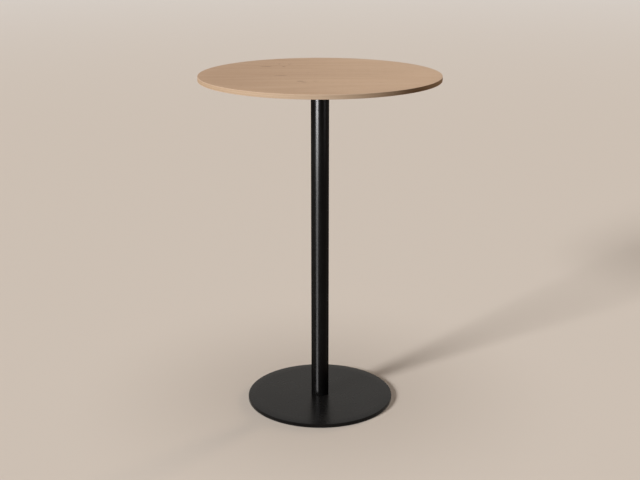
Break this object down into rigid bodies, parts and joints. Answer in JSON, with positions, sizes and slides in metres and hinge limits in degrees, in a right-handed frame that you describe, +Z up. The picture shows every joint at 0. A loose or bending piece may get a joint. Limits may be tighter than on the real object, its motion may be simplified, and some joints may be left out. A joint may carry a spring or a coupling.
{
  "type": "counter height table",
  "caption": "Round wood-faced counter height table on a slim black steel column and a flat round foot plate with levelling feet underneath.",
  "frame": {"origin": "on the floor, under the middle of the column, with the levelling feet fully screwed in", "axes": "+Z up along the column; -Y towards the viewer of the picture; +X to the right"},
  "size_m": [0.66, 0.66, 0.95],
  "materials": {
    "veneer": "matt lacquered natural veneer",
    "plywood": "sanded and lacquered plywood rim",
    "black_coat": "satin black powder coat",
    "zinc_steel": "bright zinc plated",
    "turned_steel": "turned steel, oiled",
    "insert_metal": "plain machined",
    "nylon": "moulded black nylon"
  },
  "bodies": {
    "table": {"face_veneer": "veneer", "tabletop_core": "plywood", "backing_veneer": "veneer", "threaded_inserts": "insert_metal", "mounting_plate": "black_coat", "top_screws": "zinc_steel", "screw_washers": "zinc_steel", "top_hub": "turned_steel", "hub_screws": "zinc_steel", "column_tube": "black_coat", "tie_rod": "zinc_steel", "rod_lock_washer": "zinc_steel", "rod_lock_nut": "zinc_steel", "base_spigot": "turned_steel", "sleeve_nut": "zinc_steel", "base_plate": "black_coat"},
    "pad_1": {"foot_pad_1": "nylon"},
    "pad_2": {"foot_pad_2": "nylon"},
    "pad_3": {"foot_pad_3": "nylon"},
    "pad_4": {"foot_pad_4": "nylon"},
    "stud_1": {"foot_stud_1": "zinc_steel"},
    "stud_2": {"foot_stud_2": "zinc_steel"},
    "stud_3": {"foot_stud_3": "zinc_steel"},
    "stud_4": {"foot_stud_4": "zinc_steel"}
  },
  "joints": [
    {"name": "foot_drop_1", "type": "slide", "parent": "table", "child": "pad_1", "axis": [0, 0, -1], "range_m": [0, 0.002]},
    {"name": "foot_drop_2", "type": "slide", "parent": "table", "child": "pad_2", "axis": [0, 0, -1], "range_m": [0, 0.002]},
    {"name": "foot_drop_3", "type": "slide", "parent": "table", "child": "pad_3", "axis": [0, 0, -1], "range_m": [0, 0.002]},
    {"name": "foot_drop_4", "type": "slide", "parent": "table", "child": "pad_4", "axis": [0, 0, -1], "range_m": [0, 0.002]},
    {"name": "foot_turn_1", "type": "hinge", "parent": "pad_1", "child": "stud_1", "pos_m": [0.18, 0, 0.005], "axis": [0, 0, 1], "range_deg": [0, 576]},
    {"name": "foot_turn_2", "type": "hinge", "parent": "pad_2", "child": "stud_2", "pos_m": [0, 0.18, 0.005], "axis": [0, 0, 1], "range_deg": [0, 576]},
    {"name": "foot_turn_3", "type": "hinge", "parent": "pad_3", "child": "stud_3", "pos_m": [-0.18, 0, 0.005], "axis": [0, 0, 1], "range_deg": [0, 576]},
    {"name": "foot_turn_4", "type": "hinge", "parent": "pad_4", "child": "stud_4", "pos_m": [0, -0.18, 0.005], "axis": [0, 0, 1], "range_deg": [0, 576]}
  ],
  "couplings": [
    {"joint": "foot_drop_1", "follows": "foot_turn_1", "m_per_rad": 0.00019894},
    {"joint": "foot_drop_2", "follows": "foot_turn_2", "m_per_rad": 0.00019894},
    {"joint": "foot_drop_3", "follows": "foot_turn_3", "m_per_rad": 0.00019894},
    {"joint": "foot_drop_4", "follows": "foot_turn_4", "m_per_rad": 0.00019894}
  ]
}
